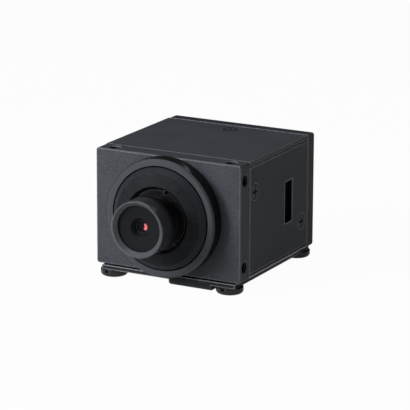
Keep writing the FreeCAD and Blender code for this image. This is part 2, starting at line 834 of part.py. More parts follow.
def lens():
    turned("lens_barrel", [
        ("neck_end", "cell_radius + running_gap + keeper_step"), ("neck_end", "neck_radius"),
        ("barrel_back + relief_width", "neck_radius"),
        ("barrel_back + relief_width", "neck_radius - relief_depth"),
        ("barrel_back", "neck_radius - relief_depth"), ("barrel_back", "barrel_radius - edge_chamfer"),
        ("barrel_back - edge_chamfer", "barrel_radius"), ("-lens_reach + rim_chamfer", "barrel_radius"),
        ("-lens_reach", "barrel_radius - rim_chamfer"), ("-lens_reach", "rim_radius"),
        ("-lens_reach + rim_radius - mouth_radius", "mouth_radius"), ("cap_back", "mouth_radius"),
        ("cap_back", "cell_radius + running_gap"), ("-(cell_tail - cell_gap)", "cell_radius + running_gap"),
        ("-(cell_tail - cell_gap)", "cell_radius + running_gap + keeper_step"),
    ])
    turned("front_cap", [
        ("cap_front", "mouth_radius - running_gap"), ("cap_front + cap_dish", "cap_bevel_radius"),
        ("cap_back - edge_chamfer", "cap_hole_radius"), ("cap_back", "cap_hole_radius"),
        ("cap_back", "mouth_radius - running_gap"),
    ])
    turned("barrel_keeper_ring", [
        ("-(cell_tail - cell_gap)", "cell_radius - 2 * keeper_step"),
        ("neck_end", "cell_radius - 2 * keeper_step"), ("neck_end", "cell_radius + keeper_step"),
        ("-(cell_tail - cell_gap)", "cell_radius + keeper_step"),
    ])
    bore = "element_radius + running_gap"
    turned("optics_cell", [
        ("cell_front", "pupil_radius + pupil_bevel"), ("cell_front", "cell_radius"),
        ("-cell_tail", "cell_radius"), ("-cell_tail", bore), ("glass_front", bore),
        ("glass_front", "pupil_radius"), ("cell_front + pupil_bevel", "pupil_radius"),
    ])
    glass("front_element", "glass_front", "front_element_thickness")
    turned("aperture_stop", [
        ("stop_front", "stop_radius"), ("stop_front", "element_radius"),
        ("spacer_front", "element_radius"), ("spacer_front", "stop_radius"),
    ])
    turned("element_spacer", [
        ("spacer_front", "element_radius - spacer_wall"), ("spacer_front", "element_radius"),
        ("rear_glass", "element_radius"), ("rear_glass", "element_radius - spacer_wall"),
    ])
    glass("rear_element", "rear_glass", "rear_element_thickness")
    turned("cell_keeper_ring", [
        ("keeper_front", "element_radius - spacer_wall"), ("keeper_front", "element_radius"),
        ("keeper_front + keeper_thickness", "element_radius"),
        ("keeper_front + keeper_thickness", "element_radius - spacer_wall"),
    ])


def glass(label, start, thickness):
    """Make one lens element, flat at its seat and domed behind it."""
    blank = rod(label + "_blank", "element_radius", start, thickness + " + 1")
    dome = doc.addObject("Part::Sphere", label + "_dome")
    bind(dome, Radius="element_curve", Placement__Base__y="%s + %s - element_curve" % (start, thickness))
    item = doc.addObject("Part::Common", label)
    item.Base = blank
    item.Tool = dome
    return piece(item, label, ("0", "front_face", "lift + axis_z"))


# ---------------------------------------------------------------- filter and sensor

def filter_and_sensor():
    front = "filter_seat - filter_thickness"
    turned("infrared_filter", [
        (front, "0"), (front, "filter_radius"), ("filter_seat", "filter_radius"), ("filter_seat", "0"),
    ])
    start = "spigot_length + seam_gap"
    turned("filter_keeper_ring", [
        (start, "light_window"), (start, "filter_bore - running_gap"),
        (front, "filter_bore - running_gap"), (front, "light_window"),
    ])
    wide = "package_width / 2"
    body = new_body("sensor_package")
    face = sketch(body, "front", "sensor_y - package_front")
    rectangle(face, "-%s" % wide, wide, "axis_z - %s" % wide, "axis_z + %s" % wide)
    pad(body, face, "package_front + package_back")
    steps = (("package_width / 2 - package_rim", "lid_thickness"),
             ("package_width / 2 - 2 * package_rim", "package_front + die_thickness"))
    for reach, depth in steps:
        well = sketch(body, "front", "sensor_y - package_front")
        rectangle(well, "-(%s)" % reach, reach, "axis_z - (%s)" % reach, "axis_z + (%s)" % reach)
        cut(body, well, depth)
    piece(body, "sensor_package")
    die = box("die", ("-die_width / 2", "front_face + sensor_y", "lift + axis_z - die_height / 2"),
              ("die_width", "die_thickness", "die_height"))
    piece(die, "sensor_die", ("-die_width / 2", "front_face + sensor_y", "lift + axis_z - die_height / 2"))
    reach = "(package_width / 2 - package_rim - running_gap)"
    corner = ("-" + reach, "front_face + sensor_y - package_front", "lift + axis_z - " + reach)
    lid = box("lid", corner, ("2 * " + reach, "lid_thickness", "2 * " + reach))
    piece(lid, "sensor_cover_glass", corner)


# ---------------------------------------------------------------- boards

def board(label, start):
    """Make a circuit board whose corners are notched round the chassis ribs."""
    body = new_body(label)
    face = sketch(body, "front", start)
    right = [("board_neck", "board_low"), ("board_neck", "neck_low"), ("board_half", "neck_low"),
             ("board_half", "neck_high"), ("board_neck", "neck_high"), ("board_neck", "board_high")]
    left = [("-(%s)" % across, along) for across, along in reversed(right)]
    outline(face, right + left)
    pad(body, face, "board_thickness")
    drill(body, "front", start, STACK, "small_screw_radius + hole_gap")
    return piece(body, label)


def spacers(label, start, end):
    items = []
    for index, (across, height) in enumerate(STACK):
        name = "%s%d" % (label, index)
        reach = "(%s) - (%s)" % (end, start)
        post = rod(name, "spacer_radius", start, reach, across, height)
        hole = rod(name + "_hole", "small_screw_radius + hole_gap", start, reach, across, height)
        items.append(less(name + "_tube", post, [hole]))
    group(label, items)


def boards():
    board("sensor_board", "sensor_board_y")
    board("processor_board", "processor_y")
    board("interface_board", "interface_y")
    spacers("front_spacers", "mid_front", "sensor_board_y")
    spacers("middle_spacers", "sensor_board_y + board_thickness", "processor_y")
    spacers("rear_spacers", "processor_back", "interface_y")
    screws = []
    for index, (across, height) in enumerate(STACK):
        spot = (across, "interface_back + pan_head_height", height)
        reach = "interface_back + pan_head_height - mid_front + blind_depth - screw_slack"
        screws.append(screw("stack%d" % index, "+Y", spot, "small_screw_radius", "small_screw_head", reach,
                            False))
    group("board_screws", screws)
    half_chip = "chip_width / 2"
    corner = ("-(%s)" % half_chip, "front_face + processor_y - chip_thickness",
              "lift + axis_z - %s" % half_chip)
    chip = box("chip", corner, ("chip_width", "chip_thickness", "chip_width"))
    piece(chip, "processor_chip", corner)
    for label, start, end in (
            ("front_board_connector", "sensor_board_y + board_thickness", "processor_y"),
            ("rear_board_connector", "processor_back", "interface_y")):
        corner = ("-header_width / 2", "front_face + " + start, "lift + board_low + board_gap")
        header = box(label, corner, ("header_width", "(%s) - (%s)" % (end, start), "header_height"))
        piece(header, label, corner)


# ---------------------------------------------------------------- sockets

def side_port():
    body = new_body("side_port")
    face = sketch(body, "side", "wall_in - port_depth")
    rectangle(face, "processor_back", "port_end", "port_low", "port_high")
    pad(body, face, "port_depth")
    mouth = sketch(body, "side", "wall_in")
    rectangle(mouth, "processor_back + port_wall", "port_end - port_wall", "port_low + port_wall",
              "port_high - port_wall")
    middle = "(processor_back + port_end) / 2"
    rectangle(mouth, middle + " - tongue_thickness / 2", middle + " + tongue_thickness / 2",
              "port_low + port_wall + tongue_inset", "port_high - port_wall - tongue_inset")
    cut(body, mouth, "port_cavity")
    return piece(body, "side_port")


def network_jack():
    body = new_body("network_jack")
    rear = "body_depth + jack_reach"
    half_wide = "jack_width / 2"
    half_high = "jack_height / 2"
    face = sketch(body, "front", "interface_back")
    rectangle(face, "-socket_x - %s" % half_wide, "-socket_x + %s" % half_wide,
              "axis_z - %s" % half_high, "axis_z + %s" % half_high)
    pad(body, face, "%s - interface_back" % rear)
    mouth = sketch(body, "front", rear)
    wide = "jack_mouth_width / 2"
    key = "jack_key_width / 2"
    high = "jack_mouth_height / 2"
    outline(mouth, [
        ("-socket_x - %s" % wide, "axis_z - %s" % high), ("-socket_x - %s" % key, "axis_z - %s" % high),
        ("-socket_x - %s" % key, "axis_z - %s - jack_key_height" % high),
        ("-socket_x + %s" % key, "axis_z - %s - jack_key_height" % high),
        ("-socket_x + %s" % key, "axis_z - %s" % high), ("-socket_x + %s" % wide, "axis_z - %s" % high),
        ("-socket_x + %s" % wide, "axis_z + %s" % high), ("-socket_x - %s" % wide, "axis_z + %s" % high),
    ])
    cut(body, mouth, "jack_mouth_depth", True)
    piece(body, "network_jack")
    contacts = []
    for index in range(8):
        shift = "%s * contact_pitch" % (index - 3.5)
        corner = ("-socket_x + %s - contact_width / 2" % shift, "body_depth + jack_reach - jack_mouth_depth",
                  "axis_z + jack_mouth_height / 2 - contact_height")
        size = ("contact_width", "jack_mouth_depth - contact_setback", "contact_height")
        contacts.append(box("contact%d" % index, corner, size))
    group("network_jack_contacts", contacts)


def io_connector():
    nose = "body_depth + rear_reach"
    turned("io_connector_shell", [
        ("mid_rear - shell_tail", "shell_bore"), ("mid_rear - shell_tail", "shell_radius"),
        ("body_depth", "shell_radius"),
        ("body_depth", "shell_flange_radius"), ("body_depth + shell_flange", "shell_flange_radius"),
        ("body_depth + shell_flange", "shell_nose_radius"), (nose + " - edge_chamfer", "shell_nose_radius"),
        (nose, "shell_nose_radius - edge_chamfer"), (nose, "shell_bore"),
    ], "socket_x")
    turned("io_connector_nut", [
        ("mid_rear - nut_thickness", "shell_radius + running_gap"),
        ("mid_rear - nut_thickness", "shell_radius + nut_rim"),
        ("mid_rear", "shell_radius + nut_rim"), ("mid_rear", "shell_radius + running_gap"),
    ], "socket_x")
    turned("io_connector_insert", [
        ("interface_back", "0"), ("interface_back", "shell_bore - running_gap"),
        ("body_depth + insert_reach", "shell_bore - running_gap"), ("body_depth + insert_reach", "0"),
    ], "socket_x")
    pins = []
    spots = [("socket_x", "axis_z")]
    for index in range(8):
        turn = 2 * math.pi * index / 8
        spots.append(("socket_x + pin_circle * %.4f" % math.cos(turn),
                      "axis_z + pin_circle * %.4f" % math.sin(turn)))
    for index, (across, height) in enumerate(spots):
        start = "body_depth + insert_reach"
        pins.append(rod("pin%d" % index, "pin_radius", start, "pin_reach", across, height))
    group("io_connector_pins", pins)


def status_light():
    turned("status_light_pipe", [
        ("interface_back + lamp_thickness", "0"), ("interface_back + lamp_thickness", "light_radius"),
        ("mid_rear - collar", "light_radius"), ("mid_rear - collar", "light_radius + collar"),
        ("mid_rear", "light_radius + collar"), ("mid_rear", "light_radius"),
        ("body_depth + light_reach", "light_radius"), ("body_depth + light_reach", "0"),
    ], "0", "light_height")
    corner = ("-lamp_width / 2", "front_face + interface_back", "lift + light_height - lamp_width / 2")
    lamp = box("lamp", corner, ("lamp_width", "lamp_thickness", "lamp_width"))
    piece(lamp, "status_lamp", corner)


TIES = [(side + "tie_x", height) for side in ("", "-") for height in ("tie_low", "tie_high")]
STACK = [(side + "stack_x", height) for side in ("", "-") for height in ("stack_low", "stack_high")]
PANEL_SCREWS = [("screw_y_front", "screw_z_front"), ("screw_y_rear", "panel_screw_low")]
DISC_POINTS = [("disc_screw_circle", "0"), ("0", "disc_screw_circle"), ("-disc_screw_circle", "0"),
               ("0", "-disc_screw_circle")]
DISC_SCREWS = [(across, "axis_z + %s" % height) for across, height in DISC_POINTS]
BASE_SCREWS = [(side + "foot_x", along) for side in ("", "-")
               for along in ("base_screw_inset", "base_screw_rear")]
FEET = [(side + "foot_x", along) for side in ("", "-") for along in ("foot_inset", "foot_rear")]

front_plate()
rear_plate()
chassis()
top_cover()
side_panel("right_side_panel", 1, True)
side_panel("left_side_panel", -1, False)
housing_screws()
base_plate()
base_screws()
for name, (across, along) in zip(("front_right", "rear_right", "front_left", "rear_left"), FEET):
    foot("foot_" + name, across, along)
lens_mount()
lock_ring()
lens()
filter_and_sensor()
boards()
side_port()
network_jack()
io_connector()
status_light()

doc.recompute()
for item in doc.Objects:
    if "Invalid" in item.State or "Error" in item.State:
        raise RuntimeError("%s could not be built: %s" % (item.Name, item.State))
for item in PIECES:
    shape = item.Shape
    if shape.isNull() or not shape.isValid() or not shape.Solids:
        raise RuntimeError("%s has no valid shape" % item.Label)
for item in PIECES:
    item.Shape.exportStep("parts/%s.step" % item.Label)
print(len(PIECES), "sub-parts")
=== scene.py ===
"""Finishes, threads, glass coating and studio for a machine vision camera.

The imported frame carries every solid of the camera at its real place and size.
This file gives those solids their finishes, adds the fine forms that are too
small for them, and sets up the floor, the lamps and the view.  Lengths are in
metres, and positions are taken from the frame.
"""

import json
import math

import bmesh
import bpy
from bpy.props import FloatProperty
from bpy.props import FloatVectorProperty
from bpy.props import PointerProperty
from mathutils import Euler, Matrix
from mathutils import Vector


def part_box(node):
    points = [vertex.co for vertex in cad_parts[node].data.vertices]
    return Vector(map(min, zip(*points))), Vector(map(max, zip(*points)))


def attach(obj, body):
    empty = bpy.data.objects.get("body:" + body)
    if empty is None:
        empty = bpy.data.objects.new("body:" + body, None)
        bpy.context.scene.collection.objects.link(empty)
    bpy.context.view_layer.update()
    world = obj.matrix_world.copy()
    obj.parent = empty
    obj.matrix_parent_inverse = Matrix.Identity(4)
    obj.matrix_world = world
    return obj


bl_info = {
    "name": "Vision Camera Finishes",
    "version": (1, 0, 0),
    "blender": (4, 5, 0),
    "location": "3D View > Sidebar > Vision Camera",
    "description": "Dresses a machine vision camera in paint, anodising, glass and threads",
    "category": "Object",
}

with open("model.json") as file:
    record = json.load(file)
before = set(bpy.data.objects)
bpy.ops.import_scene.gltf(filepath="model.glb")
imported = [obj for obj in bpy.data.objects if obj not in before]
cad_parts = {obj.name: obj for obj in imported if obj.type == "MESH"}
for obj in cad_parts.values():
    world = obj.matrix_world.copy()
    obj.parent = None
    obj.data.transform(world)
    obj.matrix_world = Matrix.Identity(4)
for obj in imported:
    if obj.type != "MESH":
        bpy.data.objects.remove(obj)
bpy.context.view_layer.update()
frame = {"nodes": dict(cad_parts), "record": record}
NODES = frame["nodes"]
MOUNTS = {mount["name"]: mount for mount in frame["record"]["mounts"]}
MM = 0.001


def low(node):
    """The lowest corner of a solid of the frame."""
    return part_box(node)[0]


def high(node):
    """The highest corner of a solid of the frame."""
    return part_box(node)[1]


def middle(node):
    """The middle of a solid's box."""
    return (low(node) + high(node)) / 2


OPTICAL_AXIS = middle("mount_ring")
FRONT_FACE = low("front_plate").y
BODY_TOP = high("front_plate").z
BODY_SIDE = high("front_plate").x
EDGE = 0.16 * MM
HEAD = 3.0 * MM
FULL_TURN = 2 * math.pi


def on_axis(depth):
    """The point of the optical axis at a place along the camera's depth."""
    return Vector((OPTICAL_AXIS.x, depth, OPTICAL_AXIS.z))


# ---------------------------------------------------------------- shader maths

class Value:
    """A socket on its way through a material.  An expression on values adds its Math nodes."""

    def __init__(self, graph, socket):
        self.graph = graph
        self.socket = socket

    def maths(self, operation, *terms):
        """The result of one Math node."""
        return self.graph.add("ShaderNodeMath", {"operation": operation}, dict(enumerate(terms)))

    def __add__(self, other):
        return self.maths("ADD", self, other)

    __radd__ = __add__

    def __sub__(self, other):
        return self.maths("SUBTRACT", self, other)

    def __rsub__(self, other):
        return self.maths("SUBTRACT", other, self)

    def __mul__(self, other):
        return self.maths("MULTIPLY", self, other)

    __rmul__ = __mul__

    def __truediv__(self, other):
        return self.maths("DIVIDE", self, other)

    def __rtruediv__(self, other):
        return self.maths("DIVIDE", other, self)

    def __abs__(self):
        return self.maths("ABSOLUTE", self)

    def waves(self, pitch):
        """Even waves from -1 to 1, one for each pitch of the value."""
        return self.maths("SINE", self * (FULL_TURN / pitch))

    def above(self, limit):
        """1 where the value is more than a limit, 0 elsewhere."""
        return self.maths("GREATER_THAN", self, limit)

    def kept(self):
        """The value, kept between 0 and 1."""
        return self.maths("MAXIMUM", self.maths("MINIMUM", self, 1), 0)


class Graph:
    """The nodes of one material, round its Principled shader."""

    def __init__(self, name):
        self.material = bpy.data.materials.new(name)
        self.material.use_nodes = True
        self.tree = self.material.node_tree
        self.shader = self.tree.nodes["Principled BSDF"]

    def fill(self, socket, value):
        """Link a value to a socket, or set the socket to a plain number, vector or colour."""
        if isinstance(value, Value):
            self.tree.links.new(value.socket, socket)
        else:
            socket.default_value = value

    def add(self, kind, settings=None, inputs=None, output=0):
        """Add a node of any kind, set it, fill its sockets and return one of its outputs."""
        node = self.tree.nodes.new(kind)
        for name, value in (settings or {}).items():
            setattr(node, name, value)
        for name, value in (inputs or {}).items():
            self.fill(node.inputs[name], value)
        return Value(self, node.outputs[output])

    def vector(self, operation, *terms, output=0):
        """The result of one Vector Math node."""
        return self.add("ShaderNodeVectorMath", {"operation": operation}, dict(enumerate(terms)), output)

    def set(self, **values):
        """Fill sockets of the Principled shader, named with underscores for spaces."""
        for name, value in values.items():
            self.fill(self.shader.inputs[name.replace("_", " ")], value)

    def place(self):
        """The point of the surface, in the frame's own metres."""
        return self.add("ShaderNodeTexCoord", output="Object")

    def noise(self, size, detail=2.0, roughness=0.5, where=None):
        """Even noise from 0 to 1 whose blots are about one size across, in metres."""
        inputs = {"Vector": where or self.place(), "Scale": 1 / size, "Detail": detail,
                  "Roughness": roughness}
        return self.add("ShaderNodeTexNoise", {"noise_dimensions": "3D"}, inputs)

    def cells(self, size):
        """The distance from the middle of the nearest of many small grains."""
        inputs = {"Vector": self.place(), "Scale": 1 / size}
        return self.add("ShaderNodeTexVoronoi", {"feature": "F1"}, inputs, "Distance")

    def part(self, name, where=None):
        """One coordinate, X, Y or Z, of the surface point or of another vector."""
        return self.add("ShaderNodeSeparateXYZ", None, {"Vector": where or self.place()}, name)

    def distance(self, point, axes):
        """The distance from a point, measured only along the axes marked 1."""
        shifted = self.vector("SUBTRACT", self.place(), point)
        return self.vector("LENGTH", self.vector("MULTIPLY", shifted, axes), output="Value")

    def radius(self):
        """The distance from the optical axis."""
        return self.distance(OPTICAL_AXIS, (1, 0, 1))

    def blend(self, first, second, mask):
        """One colour laid over another by a mask from 0 to 1."""
        return self.add("ShaderNodeMix", {"data_type": "RGBA"}, {0: mask, 6: first, 7: second}, 2)

    def shade(self, dark, light, mask):
        """A colour between two, by a mask from 0 to 1."""
        return self.blend((*dark, 1), (*light, 1), mask)

    def varied(self, colour, share, mask):
        """A colour that a mask turns darker and lighter by a share of itself."""
        return self.shade(tinted(colour, -share), tinted(colour, share), mask)

    def rounded(self, width=EDGE):
        """The surface's direction as if every edge were rounded by a width."""
        return self.add("ShaderNodeBevel", {"samples": 6}, {"Radius": width}, "Normal")

    def edges(self, width=EDGE):
        """1 along the edges of a solid, fading to 0 within a width of them."""
        contrast = 9
        flat = self.add("ShaderNodeNewGeometry", output="Normal")
        agree = self.vector("DOT_PRODUCT", self.rounded(width), flat, output="Value")
        return ((1 - agree) * contrast).kept()

    def bump(self, height, depth):
        """A Bump node for a height from 0 to 1 that stands for a depth, over softly rounded edges."""
        return self.add("ShaderNodeBump", None,
                        {"Height": height, "Distance": depth, "Normal": self.rounded()})


def tinted(colour, share):
    """A colour made lighter or darker by a share of itself."""
    return tuple(channel * (1 + share) for channel in colour)


def dress(material, *names):
    """Give CAD solids one material."""
    for name in names:
        slots = NODES[name].data.materials
        slots.clear()
        slots.append(material)


# ---------------------------------------------------------------- finishes

# Near-black that paints the shade on the inner faces of holes and slots.
RECESS_SHADE_BLACK = (0.004, 0.004, 0.005, 1)
BLAST = 0.15 * MM
PAINT_EDGE = 3 * EDGE


def textured_paint(name, colour, edge_highlight, grain, depth, rough, bare=None, edge=PAINT_EDGE, level=0.14):
    """Fine-textured powder paint: round grains, a faint mottle, and painted highlights along its edges.

    A bare mask, 1 on the inner faces of holes and slots, turns them black as painted shade.
    """
    mottle_size = 30 * grain
    graph = Graph(name)
    grains = graph.cells(grain)
    fine = graph.noise(grain, 3.0, 0.7)
    mottle = graph.noise(mottle_size, 3.0)
    mask = ((mottle - 0.5) * 0.4 + (fine - 0.5) * 3.4 + 0.5).kept()
    skin = graph.varied(colour, 0.36, mask)
    # Painted highlight: the edges are made lighter as if they caught the light.
    lit = graph.edges(edge) * (0.3 + fine) * (edge / PAINT_EDGE) ** 2
    coat = graph.blend(skin, (*edge_highlight, 1), lit.kept())
    # Painted shade: the faces that the bare mask picks, inside holes and slots, are turned black.
    if bare:
        coat = graph.blend(coat, RECESS_SHADE_BLACK, bare(graph))
    graph.set(Base_Color=coat,
              Roughness=rough - 0.06 + mottle * 0.12,
              Specular_IOR_Level=level,
              Normal=graph.bump(grains * 0.7 + fine * 0.6, depth))
    return graph.material


def inward_of(depth):
    """A mask that is 1 on faces deeper than this under the camera's sides, 0 further out."""
    def mask(graph):
        return (BODY_SIDE - depth - abs(graph.part("X"))).above(0)
    return mask


def inside_plate(graph):
    """1 on the faces inside the front plate's holes, 0 on its outer faces."""
    shell = 0.45 * MM
    below = (BODY_TOP - shell - graph.part("Z")).above(0)
    behind = (graph.part("Y") - FRONT_FACE - shell).above(0)
    return inward_of(shell)(graph) * below * behind


def turned_anodising(name, colour, rough, pitch, depth, level):
    """Black anodising on a turned face: fine rings about the axis and a satin surface."""
    graph = Graph(name)
    rings = graph.radius().waves(pitch)
    blast = graph.noise(0.18 * MM)
    soft = graph.noise(3 * MM)
    graph.set(Base_Color=graph.varied(colour, 0.1, soft),
              Roughness=rough - 0.05 + soft * 0.1,
              Specular_IOR_Level=level,
              Normal=graph.bump(rings * 0.3 + blast, depth))
    return graph.material


def ring_finish(name, face, side):
    """The mount ring: painted like the plate on its face, bare and polished black on its rim."""
    graph = Graph(name)
    rim = graph.radius().above(high("mount_ring").x - EDGE)
    grain = graph.noise(0.2 * MM, 3.0, 0.6)
    soft = graph.noise(6 * MM, 3.0)
    painted = graph.varied(face, 0.2, soft * 0.4 + grain * 0.6)
    polished = graph.varied(side, 0.2, soft)
    graph.set(Base_Color=graph.blend(painted, polished, rim),
              Roughness=0.5 - rim * 0.25 + soft * 0.06,
              Specular_IOR_Level=0.36,
              Normal=graph.bump(grain * (1 - rim * 0.8), 0.012 * MM))
    return graph.material


def barrel_finish(name, face, side, rough, pitch):
    """The lens barrel: satin grey on its front rim and mouth, dark along its side, and painted shade that
    turns its back and neck near-black, as deep in the bore.
    """
    front = low("lens_barrel").y
    rim_depth = 1.6 * MM
    gloss_depth = 5.5 * MM
    fade = 2 * MM
    neck_shade_black = (0.003, 0.003, 0.004, 1)
    graph = Graph(name)
    mouth = (front + rim_depth - graph.part("Y")).above(0)
    neck = ((graph.part("Y") - front - gloss_depth) / fade).kept()
    inside = (high("lens_barrel").x - 2 * EDGE - graph.radius()).above(0)
    rings = graph.radius().waves(pitch)
    along = graph.part("Y").waves(pitch)
    soft = graph.noise(3 * MM)
    blast = graph.noise(BLAST)
    mask = mouth * inside
    skin = graph.shade(side, face, mask * (0.9 + soft * 0.2))
    # Painted shade: past gloss_depth the barrel and its neck fade to near-black, where the bore shades them.
    graph.set(Base_Color=graph.blend(skin, neck_shade_black, neck),
              Roughness=rough + mask * 0.2 + neck * 0.3 + soft * 0.04,
              Specular_IOR_Level=0.3,
              Coat_Weight=(1 - mask) * (1 - neck) * 0.9,
              Coat_Roughness=0.2,
              Normal=graph.bump(rings * 0.2 + along * 0.2 + blast, 0.0007 * MM))
    return graph.material


def blasted_anodising(name, colour, speckle, depth, rough, edge):
    """Black anodising: a fine speckle on the blasted face, a smooth turned bevel past its edge, and a painted
    highlight line where the bevel begins.
    """
    soft_size = 20 * speckle
    line_width = 0.14 * MM
    graph = Graph(name)
    dots = graph.noise(speckle, 2.0, 0.7)
    soft = graph.noise(soft_size)
    bevel = graph.radius().above(edge)
    # Painted highlight: a light line round the disc where its bevel begins.
    line = 1 - (abs(graph.radius() - edge) / line_width).kept()
    mask = ((dots - 0.5) * 4 + soft) * (1 - bevel) + bevel * 0.85 + line * 2
    face = graph.shade(tinted(colour, -0.5), tinted(colour, 0.75), mask.kept())
    graph.set(Base_Color=graph.blend(face, (*tinted(colour, 1.0), 1), bevel * 0.6),
              Roughness=rough - 0.05 + dots * 0.1 - bevel * 0.15,
              Specular_IOR_Level=0.08,
              Normal=graph.bump(dots * (1 - bevel * 0.8), depth))
    return graph.material


def moulded(name, colour, rough, level=0.4):
    """Plain moulded plastic or ceramic with a faint skin."""
    grain = 0.12 * MM
    drift_size = 25 * grain
    graph = Graph(name)
    skin = graph.noise(grain)
    drift = graph.noise(drift_size)
    graph.set(Base_Color=graph.varied(colour, 0.08, drift),
              Roughness=rough - 0.04 + drift * 0.08,
              Specular_IOR_Level=level,
              Normal=graph.bump(skin, 0.004 * MM))
    return graph.material


def plated(name, colour, rough):
    """Plated or polished metal with fine drawn scratches."""
    drawn = (6, 1, 6)
    graph = Graph(name)
    scratches = graph.noise(0.8 * MM, 4.0, 0.6, graph.vector("MULTIPLY", graph.place(), drawn))
    graph.set(Base_Color=graph.shade(tinted(colour, -0.1), colour, scratches),
              Metallic=1.0,
              Roughness=rough + scratches * 0.12,
              Normal=graph.bump(scratches, 0.004 * MM))
    return graph.material


def coated_glass(name, tint):
    """Coated optical glass."""
    graph = Graph(name)
    dust = graph.noise(1.2 * MM, 3.0)
    graph.set(Base_Color=(*tint, 1),
              Roughness=0.02 + dust * 0.02,
              IOR=1.5,
              Transmission_Weight=1.0)
    return graph.material


def slot_walls(graph):
    """1 on faces that look round the optical axis, such as the walls of a spanner slot."""
    arm = graph.vector("SUBTRACT", graph.place(), OPTICAL_AXIS)
    facing = graph.add("ShaderNodeTexCoord", output="Normal")
    around = graph.part("Y", graph.vector("CROSS_PRODUCT", arm, facing)) / graph.radius()
    return ((abs(around) - 0.6) * 4).kept()


def edged_anodising(name, colour, bright, width=EDGE, cut=None):
    """Black anodising with painted highlights along its edges, and painted glints on the faces that a mask
    picks.
    """
    graph = Graph(name)
    # Painted highlight: the edges, and the faces the mask picks, are blended towards a bright colour as if
    # lit.
    edge_highlight = graph.edges(width) * graph.noise(0.5 * MM)
    if cut:
        edge_highlight = edge_highlight * 0.5 + cut(graph)
    soft = graph.noise(2 * MM)
    graph.set(Base_Color=graph.blend(graph.varied(colour, 0.15, soft), (*bright, 1), edge_highlight.kept()),
              Roughness=0.34 + soft * 0.08,
              Specular_IOR_Level=0.12,
              Normal=graph.bump(graph.noise(BLAST), 0.002 * MM))
    return graph.material


def screw_finish(name, colour, centres, axes):
    """Black oxide on flush screws: satin heads, with a painted shade line where each head meets its seat and
    along its edges.
    """
    line_radius = HEAD - 0.35 * MM
    line_width = 0.55 * MM
    seat_shade_black = (0.002, 0.002, 0.002, 1)
    graph = Graph(name)
    line = graph.edges(1.3 * EDGE)
    # Painted shade: a near-black line round each head and along its edges, where the gap lies in shadow.
    for centre in centres:
        off = graph.distance(centre, axes) - line_radius
        line = line + (1 - abs(off) / line_width).kept() * 2
    soft = graph.noise(1.5 * MM)
    graph.set(Base_Color=graph.blend(graph.varied(colour, 0.15, soft), seat_shade_black, line.kept()),
              Roughness=0.42 + soft * 0.08,
              Specular_IOR_Level=0.15,
              Normal=graph.bump(graph.noise(BLAST), 0.003 * MM))
    return graph.material


def painted_reflection_sheet(name, dark, glint, centre, spread):
    """A sheet over the front glass: nearly black, as painted shade of the lens's inside, with a crescent that
    glows as a painted reflection.
    """
    everywhere = (1, 1, 1)
    hollow_centre = centre + spread * Vector((-1.35, 0, 0.15))
    graph = Graph(name)
    near = graph.distance(centre, everywhere) / spread
    hollow = graph.distance(hollow_centre, everywhere) / spread
    crescent = ((1 - near) * 6).kept() * ((hollow - 0.95) * 6).kept()
    cloud = graph.noise(0.5 * MM, 3.0)
    graph.set(Base_Color=graph.shade(dark, tinted(dark, 0.8), cloud),
              Roughness=0.08 + cloud * 0.04,
              Specular_IOR_Level=0.1,
              # Painted reflection: the crescent glows by emission, though the sheet is no lamp.
              Emission_Color=graph.shade((0, 0, 0), glint, crescent * (0.85 + cloud * 0.3)),
              Emission_Strength=1.0)
    return graph.material


def board_laminate(name, colour):
    """Solder mask over a glass weave."""
    thread = 0.5 * MM
    graph = Graph(name)
    weave = graph.part("X").waves(thread) * graph.part("Z").waves(thread)
    blots = graph.noise(2.5 * MM, 3.0)
    graph.set(Base_Color=graph.shade(tinted(colour, -0.25), tinted(colour, 0.2), blots),
              Roughness=0.32 + blots * 0.1,
              Normal=graph.bump(weave, 0.006 * MM))
    return graph.material


# ---------------------------------------------------------------- settings

class PaintSettings(bpy.types.PropertyGroup):
    """Colours and grain of the paint"""

    body: FloatVectorProperty(name="Body", description="Paint of the front plate and chassis",
                              subtype="COLOR", min=0, max=1, default=(0.070, 0.077, 0.089))
    rear: FloatVectorProperty(name="Rear", description="Paint of the rear plate",
                              subtype="COLOR", min=0, max=1, default=(0.044, 0.048, 0.058))
    cover: FloatVectorProperty(name="Cover", description="Paint of the top cover",
                               subtype="COLOR", min=0, max=1, default=(0.077, 0.084, 0.096))
    panel: FloatVectorProperty(name="Panels", description="Paint of the side panels",
                               subtype="COLOR", min=0, max=1, default=(0.052, 0.057, 0.070))
    base: FloatVectorProperty(name="Base", description="Paint of the base plate",
                              subtype="COLOR", min=0, max=1, default=(0.026, 0.028, 0.033))
    # Colour of the painted highlights along the edges.
    edge_highlight: FloatVectorProperty(name="Edges", description="Paint where it lies thin on an edge",
                              subtype="COLOR", min=0, max=1, default=(0.42, 0.44, 0.47))
    grain: FloatProperty(name="Grain", description="Distance between the paint's grains",
                         unit="LENGTH", default=0.34 * MM)
    depth: FloatProperty(name="Grain depth", description="Height of the paint's grains",
                         unit="LENGTH", default=0.03 * MM)


class MountSettings(bpy.types.PropertyGroup):
    """Colours and texture of the lens mount"""

    ring: FloatVectorProperty(name="Ring face", description="Paint on the face of the mount ring",
                              subtype="COLOR", min=0, max=1, default=(0.058, 0.064, 0.074))
    rim: FloatVectorProperty(name="Ring side", description="Bare black side of the mount ring",
                             subtype="COLOR", min=0, max=1, default=(0.006, 0.006, 0.007))
    disc: FloatVectorProperty(name="Disc", description="Blasted black face of the mount disc",
                              subtype="COLOR", min=0, max=1, default=(0.015, 0.0165, 0.020))
    speckle: FloatProperty(name="Speckle", description="Distance between the blasted dots",
                           unit="LENGTH", default=0.3 * MM)
    pitch: FloatProperty(name="Turning pitch", description="Distance between the turning marks",
                         unit="LENGTH", default=0.12 * MM)


